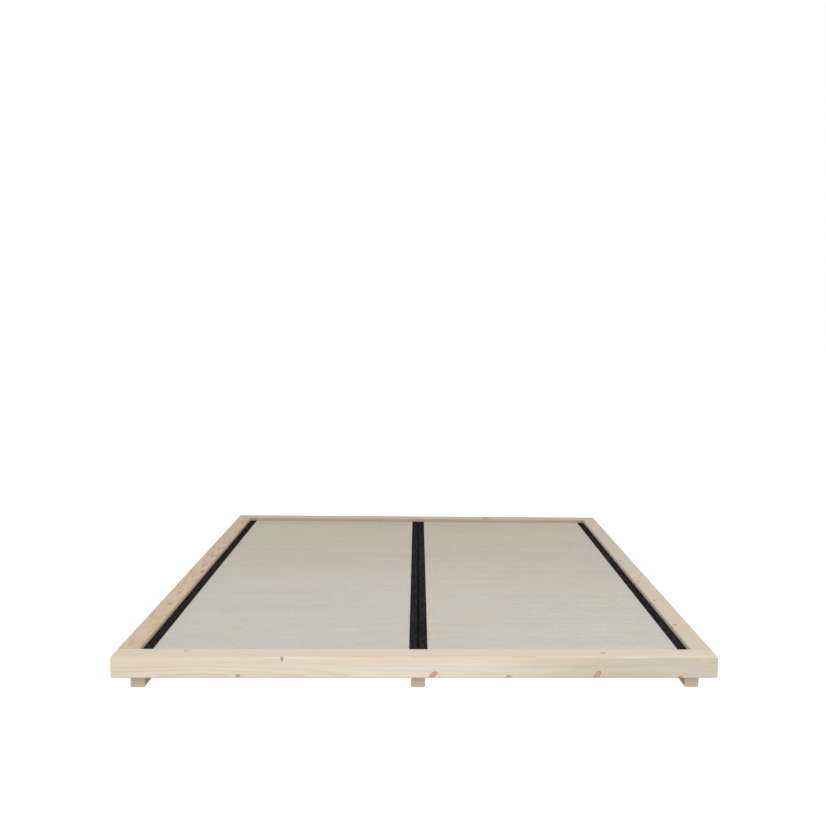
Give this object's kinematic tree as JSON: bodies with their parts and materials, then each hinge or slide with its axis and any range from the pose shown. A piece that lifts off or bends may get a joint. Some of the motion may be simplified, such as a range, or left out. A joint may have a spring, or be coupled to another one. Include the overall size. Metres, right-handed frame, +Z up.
{
  "type": "platform bed",
  "caption": "Low platform bed of pale pine: rounded rails on lengthwise bearers, a slatted base, and loose tatami mats with black cloth borders lying inside the rails.",
  "frame": {"origin": "middle of the footprint, on the floor", "axes": "+X to the right across the bed seen from its foot, +Y from the foot rail towards the head rail, +Z up"},
  "size_m": [1.95, 2.15, 0.117],
  "materials": {
    "pine_rail": "planed and sanded, untreated",
    "pine_bearer": "planed, untreated",
    "pine_slat": "planed, untreated",
    "beech_dowel": "turned, fluted, untreated",
    "zinc_plate": "zinc plated",
    "zinc_screw": "yellow zinc plated",
    "mat_core": "pressed rice-straw board",
    "rush_weave": "woven rush, matt with a slight sheen",
    "black_border": "tightly woven black cotton tape",
    "mat_backing": "woven backing cloth"
  },
  "bodies": {
    "frame": {"front_rail": "pine_rail", "back_rail": "pine_rail", "left_side_rail": "pine_rail", "right_side_rail": "pine_rail", "left_bearer": "pine_bearer", "centre_bearer": "pine_bearer", "right_bearer": "pine_bearer", "slat_01": "pine_slat", "slat_02": "pine_slat", "slat_03": "pine_slat", "slat_04": "pine_slat", "slat_05": "pine_slat", "slat_06": "pine_slat", "slat_07": "pine_slat", "slat_08": "pine_slat", "slat_09": "pine_slat", "slat_10": "pine_slat", "slat_11": "pine_slat", "slat_12": "pine_slat", "slat_13": "pine_slat", "slat_14": "pine_slat", "front_left_corner_plate": "zinc_plate", "front_right_corner_plate": "zinc_plate", "back_left_corner_plate": "zinc_plate", "back_right_corner_plate": "zinc_plate", "corner_dowels": "beech_dowel", "slat_screws": "zinc_screw", "bearer_screws": "zinc_screw", "plate_screws": "zinc_screw"},
    "left_mat": {"left_mat_backing": "mat_backing", "left_mat_core": "mat_core", "left_mat_cover": "rush_weave", "left_mat_outer_border": "black_border", "left_mat_inner_border": "black_border"},
    "right_mat": {"right_mat_backing": "mat_backing", "right_mat_core": "mat_core", "right_mat_cover": "rush_weave", "right_mat_outer_border": "black_border", "right_mat_inner_border": "black_border"}
  },
  "joints": [
    {"name": "left_mat_lift", "type": "slide", "parent": "frame", "child": "left_mat", "axis": [0, 0, 1], "range_m": [0, 0.12]},
    {"name": "right_mat_lift", "type": "slide", "parent": "frame", "child": "right_mat", "axis": [0, 0, 1], "range_m": [0, 0.12]}
  ]
}
